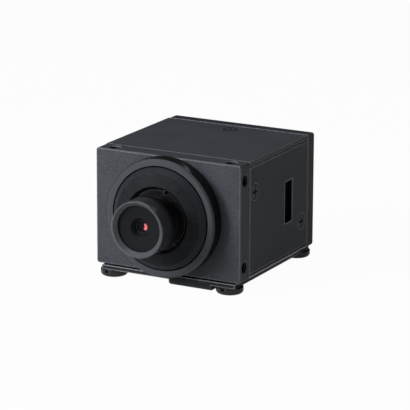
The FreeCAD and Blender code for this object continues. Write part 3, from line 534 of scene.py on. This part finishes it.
class LensSettings(bpy.types.PropertyGroup):
    """Colours of the lens"""

    rim: FloatVectorProperty(name="Rim", description="Satin grey of the barrel's front rim and mouth",
                             subtype="COLOR", min=0, max=1, default=(0.085, 0.092, 0.104))
    barrel: FloatVectorProperty(name="Barrel", description="Black of the barrel's side",
                                subtype="COLOR", min=0, max=1, default=(0.042, 0.045, 0.050))
    cap: FloatVectorProperty(name="Cap", description="Matt black of the plate round the front glass",
                             subtype="COLOR", min=0, max=1, default=(0.0095, 0.0105, 0.013))
    cell: FloatVectorProperty(name="Cell", description="Grey nose of the glass cell",
                              subtype="COLOR", min=0, max=1, default=(0.007, 0.0075, 0.009))
    # Colour of the painted reflection that glows on the sheet over the front glass.
    painted_reflection: FloatVectorProperty(name="Coating", description="Colour that the coated glass sends back",
                                 subtype="COLOR", min=0, max=1, default=(0.97, 0.2, 0.22))


class ThreadSettings(bpy.types.PropertyGroup):
    """Pitches of the threads"""

    bracket: FloatProperty(name="Bracket thread", description="Pitch of the tapped bracket holes",
                           unit="LENGTH", default=0.8 * MM)
    mount: FloatProperty(name="Mount thread", description="Pitch of the thread in the mount's bore",
                         unit="LENGTH", default=25.4 * MM / 32)
    neck: FloatProperty(name="Neck thread", description="Pitch of the thread on the lens neck",
                        unit="LENGTH", default=0.5 * MM)
    tripod: FloatProperty(name="Tripod thread", description="Pitch of the thread under the base",
                          unit="LENGTH", default=25.4 * MM / 20)


class StageSettings(bpy.types.PropertyGroup):
    """Place of the view and strength of the lamps"""

    azimuth: FloatProperty(name="Azimuth", description="Camera's turn round the part from its front",
                           subtype="ANGLE", default=math.radians(28.981))
    elevation: FloatProperty(name="Elevation", description="Camera's height above the horizon",
                             subtype="ANGLE", default=math.radians(15.32))
    distance: FloatProperty(name="Distance", description="From the camera to the middle of the front face",
                            unit="LENGTH", default=0.9505)
    pan: FloatProperty(name="Pan", description="Camera's turn to the right of the front face's middle",
                       subtype="ANGLE", default=math.radians(0.824))
    tilt: FloatProperty(name="Tilt", description="Camera's turn above the front face's middle",
                        subtype="ANGLE", default=math.radians(0.225))
    lens: FloatProperty(name="Lens", description="Focal length in millimetres on a 36 mm sensor",
                        default=228.87)
    key: FloatProperty(name="Key lamp", description="Power of the lamp at the left front, in watts",
                       default=2.45)
    top: FloatProperty(name="Top lamp", description="Power of the lamp above, in watts", default=0.72)
    back: FloatProperty(name="Back lamp", description="Power of the lamp behind, in watts", default=0.17)
    side: FloatProperty(name="Side lamp", description="Power of the lamp at the right, in watts",
                        default=0.10)
    fill: FloatProperty(name="Fill", description="Strength of the even light round the part", default=0.04)


# ---------------------------------------------------------------- threads

def thread_ridge(name, start, along, length, radius, height, pitch, material):
    """A screw thread's ridge wound round an axis; a negative height stands inward from a bore."""
    steps = 36
    taper = steps / 3
    foot = 0.35 * pitch
    crest = 0.08 * pitch
    sunk = -0.1 * height
    along = along.normalized()
    across = along.orthogonal().normalized()
    third = along.cross(across)
    count = int(steps * (length - 2 * foot) / pitch)
    mesh = bmesh.new()
    rings = []
    for index in range(count + 1):
        turn = FULL_TURN * index / steps
        outward = across * math.cos(turn) + third * math.sin(turn)
        centre = start + along * (foot + pitch * index / steps)
        grown = height * min(1, index / taper, (count - index) / taper)
        profile = [(-foot, sunk), (-crest, grown), (crest, grown), (foot, sunk)]
        rings.append([mesh.verts.new(centre + along * shift + outward * (radius + lift))
                      for shift, lift in profile])
    for here, there in zip(rings, rings[1:]):
        for corner in range(4):
            following = (corner + 1) % 4
            mesh.faces.new((here[corner], here[following], there[following], there[corner]))
    mesh.faces.new(rings[0])
    mesh.faces.new(reversed(rings[-1]))
    return placed(name, mesh, material)


def placed(name, mesh, material):
    """Put a built mesh in the scene as a named object with one material."""
    bmesh.ops.recalc_face_normals(mesh, faces=mesh.faces)
    data = bpy.data.meshes.new(name)
    mesh.to_mesh(data)
    mesh.free()
    data.materials.append(material)
    made = bpy.data.objects.new(name, data)
    bpy.context.scene.collection.objects.link(made)
    return made


# ---------------------------------------------------------------- operators

class PaintHousing(bpy.types.Operator):
    """Paint the plates, chassis, cover and side panels"""

    bl_idname = "vision_camera.paint_housing"
    bl_label = "Paint the housing"

    def execute(self, context):
        paint = context.scene.vision_paint
        skin = (paint.edge_highlight, paint.grain, paint.depth)
        # Brighter painted edge highlights, for the rear plate and the rail.
        bright = (tinted(paint.edge_highlight, 0.3), paint.grain, paint.depth)
        rail_depth = 2.3 * MM
        panel_depth = 0.5 * MM
        # The bare masks paint shade: black inside the front plate's holes, on the chassis inward of its rail,
        # and on the cut walls of the panels' slot.
        front = textured_paint("front_paint", paint.body, *skin, rough=0.5, bare=inside_plate)
        rear = textured_paint("rear_paint", paint.rear, *bright, rough=0.5, edge=4 * EDGE)
        rail = textured_paint("rail_paint", paint.body, *bright, rough=0.3, bare=inward_of(rail_depth),
                              edge=5 * EDGE, level=0.5)
        cover = textured_paint("cover_paint", paint.cover, *skin, rough=0.5)
        panel = textured_paint("panel_paint", paint.panel, *skin, rough=0.5, bare=inward_of(panel_depth),
                               edge=5 * EDGE)
        dress(front, "front_plate")
        dress(rear, "rear_plate")
        dress(rail, "chassis")
        dress(cover, "top_cover")
        dress(panel, "right_side_panel", "left_side_panel")
        return {"FINISHED"}


class FinishBase(bpy.types.Operator):
    """Finish the base plate and its four feet"""

    bl_idname = "vision_camera.finish_base"
    bl_label = "Finish the base and feet"

    def execute(self, context):
        paint = context.scene.vision_paint
        skin = (paint.edge_highlight, paint.grain, paint.depth)
        dress(textured_paint("base_paint", paint.base, *skin, rough=0.4, edge=4 * EDGE), "base_plate")
        dress(moulded("foot_moulding", (0.018, 0.019, 0.021), rough=0.22),
              "foot_front_right", "foot_rear_right", "foot_front_left", "foot_rear_left")
        return {"FINISHED"}


class FinishScrews(bpy.types.Operator):
    """Give the screws black oxide outside and zinc plate inside"""

    bl_idname = "vision_camera.finish_screws"
    bl_label = "Finish the screws"

    def execute(self, context):
        black = (0.085, 0.091, 0.103)
        from_side = (0, 1, 1)
        from_above = (1, 1, 0)
        from_behind = (1, 0, 1)
        first = low("side_panel_screws")
        last = high("side_panel_screws")
        sides = [(0, first.y + HEAD, last.z - HEAD), (0, last.y - HEAD, first.z + HEAD)]
        dress(screw_finish("side_screw_oxide", black, sides, from_side), "side_panel_screws")
        dress(screw_finish("cover_screw_oxide", black, [middle("top_cover_screw")], from_above),
              "top_cover_screw")
        first = low("tie_screws")
        last = high("tie_screws")
        corners = [(across, 0, height) for across in (first.x + HEAD, last.x - HEAD)
                   for height in (first.z + HEAD, last.z - HEAD)]
        dress(screw_finish("tie_screw_oxide", black, corners, from_behind), "tie_screws")
        dress(screw_finish("base_screw_oxide", black, [], from_above), "base_plate_screws")
        dress(plated("zinc_plate", (0.55, 0.56, 0.58), rough=0.25), "mount_screws", "board_screws")
        return {"FINISHED"}


class FinishMount(bpy.types.Operator):
    """Anodise the ring, the disc, the carrier and the lock ring"""

    bl_idname = "vision_camera.finish_mount"
    bl_label = "Finish the lens mount"

    def execute(self, context):
        mount = context.scene.vision_mount
        dress(ring_finish("ring_finish", mount.ring, mount.rim), "mount_ring")
        bevel = 1.75 * MM
        dress(blasted_anodising("disc_anodising", mount.disc, mount.speckle, depth=0.02 * MM, rough=0.5,
                                edge=high("mount_disc").x - bevel),
              "mount_disc")
        dress(turned_anodising("carrier_anodising", (0.006, 0.006, 0.007), rough=0.4, pitch=mount.pitch,
                               depth=0.002 * MM, level=0.1),
              "lens_carrier", "filter_keeper_ring")
        # Painted glints: the lock ring's edges and the walls of its spanner slots are given a near-white
        # colour.
        dress(edged_anodising("lock_anodising", (0.008, 0.0085, 0.010), (0.6, 0.61, 0.63), cut=slot_walls),
              "lock_ring")
        return {"FINISHED"}


class FinishLens(bpy.types.Operator):
    """Finish the lens: barrel, cap, cell, glass and stop"""

    bl_idname = "vision_camera.finish_lens"
    bl_label = "Finish the lens"

    def execute(self, context):
        lens = context.scene.vision_lens
        dress(barrel_finish("barrel_finish", lens.rim, lens.barrel, rough=0.2, pitch=0.1 * MM),
              "lens_barrel", "barrel_keeper_ring")
        dress(moulded("cap_black", lens.cap, rough=0.55, level=0.12), "front_cap")
        # Painted highlights: light rings along the edges of the cell's nose and its rings.
        dress(edged_anodising("cell_anodising", lens.cell, (0.16, 0.165, 0.175), width=1.6 * EDGE),
              "optics_cell", "element_spacer", "cell_keeper_ring")
        dress(moulded("stop_black", (0.008, 0.008, 0.009), rough=0.7), "aperture_stop")
        dress(coated_glass("lens_glass", (0.98, 0.96, 0.98)), "front_element", "rear_element")
        dress(coated_glass("filter_glass", (0.75, 0.9, 0.92)), "infrared_filter")
        return {"FINISHED"}


class PaintFrontGlassReflection(bpy.types.Operator):
    """Lay a sheet just in front of the front glass, where it shows through the nose of the cell, that carries
    painted shade and a painted reflection
    """

    bl_idname = "vision_camera.coat_front_glass"
    bl_label = "Overpaint the front glass"

    def execute(self, context):
        lens = context.scene.vision_lens
        front = low("front_element").y
        radius = 0.9 * high("front_element").x
        clear = 0.35 * MM
        dome = 0.3 * MM
        glint = 1.35 * MM
        glint_shift = Vector((1.15, 0, 0.1)) * MM
        rings = 14
        steps = 48
        mesh = bmesh.new()
        crown = on_axis(front - clear)
        top = mesh.verts.new(crown)
        turns = [FULL_TURN * step / steps for step in range(steps)]
        rows = []
        for ring in range(1, rings + 1):
            reach = radius * ring / rings
            drop = dome * (ring / rings) ** 2
            points = [Vector((reach * math.cos(turn), drop, reach * math.sin(turn))) for turn in turns]
            rows.append([mesh.verts.new(crown + point) for point in points])
        for step in range(steps):
            following = (step + 1) % steps
            mesh.faces.new((top, rows[0][step], rows[0][following]))
            for inner, outer in zip(rows, rows[1:]):
                mesh.faces.new((inner[step], outer[step], outer[following], inner[following]))
        # The sheet is dark painted shade with a glowing painted reflection.
        painted_reflection = painted_reflection_sheet("glass_painted_reflection", (0.005, 0.003, 0.005), lens.painted_reflection,
                                on_axis(front) + glint_shift, glint)
        made = placed("front_glass_painted_reflection", mesh, painted_reflection)
        for face in made.data.polygons:
            face.use_smooth = True
        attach(made, "optics")
        return {"FINISHED"}


class CutThreads(bpy.types.Operator):
    """Wind the threads of the bracket holes, the mount, the lens neck and the tripod socket"""

    bl_idname = "vision_camera.cut_threads"
    bl_label = "Cut the threads"

    def execute(self, context):
        pitch = context.scene.vision_threads
        # Painted shade: the tapped threads are near-black as the shade inside their holes; their glints come
        # from the lamps.
        tapped = turned_anodising("tapped_thread_shade", (0.014, 0.015, 0.017), rough=0.35, pitch=0.15 * MM,
                                  depth=0.002 * MM, level=0.3)
        # Painted shade: the neck's thread is near-black like the shaded neck it winds round.
        turned = turned_anodising("neck_thread_shade", (0.004, 0.004, 0.005), rough=0.4, pitch=0.15 * MM,
                                  depth=0.001 * MM, level=0.08)

        chamfer = 0.35 * MM
        tapped_length = 3.0 * MM
        bracket_height = 0.22 * MM
        for name in ("top", "right", "left"):
            holes = MOUNTS[name + "_bracket_holes"]
            sizes = holes["dims"]
            apart = Vector((sizes.get("spacing_x_mm", 0), 0, sizes.get("spacing_y_mm", 0))) * MM / 2
            inward = -Vector(holes["axis"])
            for index, side in enumerate((-1, 1), 1):
                start = Vector(holes["pos_m"]) + apart * side + inward * chamfer
                ridge = thread_ridge("%s_bracket_thread_%d" % (name, index), start, inward, tapped_length,
                                     sizes["hole_r_mm"] * MM, -bracket_height, pitch.bracket, tapped)
                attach(ridge, "housing")

        socket = MOUNTS["tripod_thread"]
        deep = socket["dims"]["length_mm"] * MM
        mouth = 0.4 * MM
        ends = 0.7 * MM
        tripod_height = 0.3 * MM
        start = Vector(socket["pos_m"]) - Vector((0, 0, deep / 2 - mouth))
        tripod = thread_ridge("tripod_thread", start, Vector((0, 0, 1)), deep - ends,
                              socket["dims"]["r_mm"] * MM, -tripod_height, pitch.tripod, tapped)
        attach(tripod, "housing")

        inward = Vector((0, 1, 0))
        barrel_length = 9 * MM
        neck_radius = 9.3 * MM
        neck_height = 0.2 * MM
        clear = 0.7 * MM
        start = on_axis(low("lens_barrel").y + barrel_length)
        neck = thread_ridge("neck_thread", start, inward, low("lock_ring").y - clear - start.y, neck_radius,
                            neck_height, pitch.neck, turned)
        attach(neck, "barrel")

        lead = 0.5 * MM
        clear = 0.1 * MM
        bore_radius = 12.3 * MM
        bore_height = 0.3 * MM
        start = on_axis(low("mount_disc").y + lead)
        bore = thread_ridge("mount_thread", start, inward, low("lens_carrier").y - clear - start.y,
                            bore_radius, -bore_height, pitch.mount, tapped)
        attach(bore, "housing")
        return {"FINISHED"}


class FinishElectronics(bpy.types.Operator):
    """Finish the sensor, the boards and what stands on them"""

    bl_idname = "vision_camera.finish_electronics"
    bl_label = "Finish the electronics"

    def execute(self, context):
        dress(moulded("package_ceramic", (0.05, 0.05, 0.055), rough=0.5), "sensor_package")
        dress(coated_glass("lid_glass", (0.95, 0.97, 0.97)), "sensor_cover_glass")
        dress(moulded("die_silicon", (0.06, 0.05, 0.075), rough=0.12), "sensor_die")
        dress(board_laminate("board_green", (0.012, 0.07, 0.035)),
              "sensor_board", "processor_board", "interface_board")
        dress(moulded("chip_epoxy", (0.02, 0.02, 0.021), rough=0.45), "processor_chip")
        dress(moulded("header_plastic", (0.018, 0.018, 0.019), rough=0.4),
              "front_board_connector", "rear_board_connector")
        dress(plated("spacer_nickel", (0.6, 0.58, 0.52), rough=0.28),
              "front_spacers", "middle_spacers", "rear_spacers")
        return {"FINISHED"}


class FinishSockets(bpy.types.Operator):
    """Finish the side port, the network jack, the round connector and the status light"""

    bl_idname = "vision_camera.finish_sockets"
    bl_label = "Finish the sockets"

    def execute(self, context):
        dress(moulded("port_plastic", (0.005, 0.005, 0.006), rough=0.5, level=0.06), "side_port")
        dress(plated("jack_shield", (0.62, 0.62, 0.62), rough=0.22), "network_jack")
        dress(plated("contact_gold", (0.9, 0.62, 0.22), rough=0.18),
              "network_jack_contacts", "io_connector_pins")
        dress(plated("shell_nickel", (0.6, 0.59, 0.57), rough=0.24), "io_connector_shell", "io_connector_nut")
        dress(moulded("insert_plastic", (0.016, 0.016, 0.017), rough=0.45), "io_connector_insert")
        dress(moulded("light_pipe", (0.35, 0.5, 0.4), rough=0.15), "status_light_pipe")
        dress(moulded("lamp_body", (0.6, 0.6, 0.55), rough=0.4), "status_lamp")
        return {"FINISHED"}


# ---------------------------------------------------------------- stage

def studio_white(name, colour):
    """A pale surface that looks plain white where it is seen directly, and keeps the part's shadow."""
    in_gloss = 0.35
    brightest = 0.97
    graph = Graph(name)
    seen, glossy, through = [graph.add("ShaderNodeLightPath", output="Is %s Ray" % kind)
                             for kind in ("Camera", "Glossy", "Transmission")]
    mask = (seen + glossy * in_gloss + through) * brightest
    graph.set(Base_Color=(*colour, 1), Roughness=0.9, Specular_IOR_Level=0.0)
    glow = graph.add("ShaderNodeEmission", None, {"Color": (1, 1, 1, 1), "Strength": 1.0})
    surface = Value(graph, graph.shader.outputs[0])
    mixed = graph.add("ShaderNodeMixShader", None, {0: mask, 1: surface, 2: glow})
    graph.fill(graph.tree.nodes["Material Output"].inputs["Surface"], mixed)
    return graph.material


def lay_floor(reach):
    """One flat white sheet under the part, reaching as far to every side."""
    corners = [(-reach, -reach, 0), (reach, -reach, 0), (reach, reach, 0), (-reach, reach, 0)]
    mesh = bpy.data.meshes.new("floor")
    mesh.from_pydata(corners, [], [(0, 1, 2, 3)])
    mesh.materials.append(studio_white("studio_floor", (0.8, 0.8, 0.8)))
    made = bpy.data.objects.new("floor", mesh)
    bpy.context.scene.collection.objects.link(made)


def bearing(turn, rise):
    """A direction from its turn round the part, 0 at the front, and its rise above the horizon."""
    return Vector((math.sin(turn) * math.cos(rise), -math.cos(turn) * math.cos(rise), math.sin(rise)))


def hang_lamp(name, aim, watts, turn, rise, distance, width, height):
    """One soft rectangular lamp turned to a point; its turn and rise are in degrees."""
    light = bpy.data.lights.new(name, "AREA")
    light.shape = "RECTANGLE"
    light.size = width
    light.size_y = height
    light.energy = watts
    out = bearing(math.radians(turn), math.radians(rise))
    made = bpy.data.objects.new(name, light)
    made.location = aim + out * distance
    made.rotation_euler = (-out).to_track_quat("-Z", "Y").to_euler()
    bpy.context.scene.collection.objects.link(made)


def set_camera(scene, stage, aim):
    """The camera, turned to a point and then panned and tilted from it."""
    back = bearing(stage.azimuth, stage.elevation)
    view = bpy.data.cameras.new("camera")
    view.lens = stage.lens
    view.sensor_width = 36.0
    view.clip_start = 0.01
    view.clip_end = 50
    camera = bpy.data.objects.new("camera", view)
    camera.location = aim + back * stage.distance
    upright = (-back).to_track_quat("-Z", "Y")
    camera.rotation_euler = (upright @ Euler((stage.tilt, -stage.pan, 0)).to_quaternion()).to_euler()
    scene.collection.objects.link(camera)
    scene.camera = camera


def fill_world(scene, strength):
    """Even cool light from all round."""
    world = bpy.data.worlds.new("studio")
    world.use_nodes = True
    sky = world.node_tree.nodes["Background"].inputs
    sky["Color"].default_value = (0.92, 0.96, 1.0, 1)
    sky["Strength"].default_value = strength
    scene.world = world


class BuildStage(bpy.types.Operator):
    """Set up the floor, the world, the lamps and the camera"""

    bl_idname = "vision_camera.build_stage"
    bl_label = "Build the stage"

    def execute(self, context):
        scene = context.scene
        stage = scene.vision_stage
        aim = on_axis(FRONT_FACE)
        lay_floor(reach=6.0)
        set_camera(scene, stage, aim)
        hang_lamp("key_lamp", aim, stage.key, turn=-38, rise=24, distance=0.55, width=0.22, height=0.26)
        hang_lamp("top_lamp", aim, stage.top, turn=-20, rise=68, distance=0.55, width=0.35, height=0.35)
        hang_lamp("back_lamp", aim, stage.back, turn=172, rise=33, distance=0.6, width=0.24, height=0.14)
        hang_lamp("side_lamp", aim, stage.side, turn=80, rise=20, distance=0.6, width=0.3, height=0.3)
        fill_world(scene, stage.fill)
        scene.view_settings.view_transform = "Standard"
        return {"FINISHED"}


# ---------------------------------------------------------------- panel and run

class VisionCameraPanel(bpy.types.Panel):
    """Lists the steps that dress the camera"""

    bl_idname = "VIEW3D_PT_vision_camera"
    bl_label = "Vision Camera"
    bl_space_type = "VIEW_3D"
    bl_region_type = "UI"
    bl_category = "Vision Camera"

    def draw(self, context):
        for step in STEPS:
            self.layout.operator(step.bl_idname)
        for group in GROUPS:
            settings = getattr(context.scene, group)
            for name in settings.__annotations__:
                self.layout.prop(settings, name)


STEPS = [PaintHousing, FinishBase, FinishScrews, FinishMount, FinishLens, PaintFrontGlassReflection, CutThreads,
         FinishElectronics, FinishSockets, BuildStage]
GROUPS = {"vision_paint": PaintSettings, "vision_mount": MountSettings, "vision_lens": LensSettings,
          "vision_threads": ThreadSettings, "vision_stage": StageSettings}


def register():
    for name, group in GROUPS.items():
        bpy.utils.register_class(group)
        setattr(bpy.types.Scene, name, PointerProperty(type=group))
    for step in STEPS:
        bpy.utils.register_class(step)
    bpy.utils.register_class(VisionCameraPanel)


def unregister():
    bpy.utils.unregister_class(VisionCameraPanel)
    for step in reversed(STEPS):
        bpy.utils.unregister_class(step)
    for name, group in GROUPS.items():
        delattr(bpy.types.Scene, name)
        bpy.utils.unregister_class(group)


def main():
    """Dress the whole camera."""
    register()
    for step in STEPS:
        family, action = step.bl_idname.split(".")
        getattr(getattr(bpy.ops, family), action)()


if __name__ == "__main__":
    main()
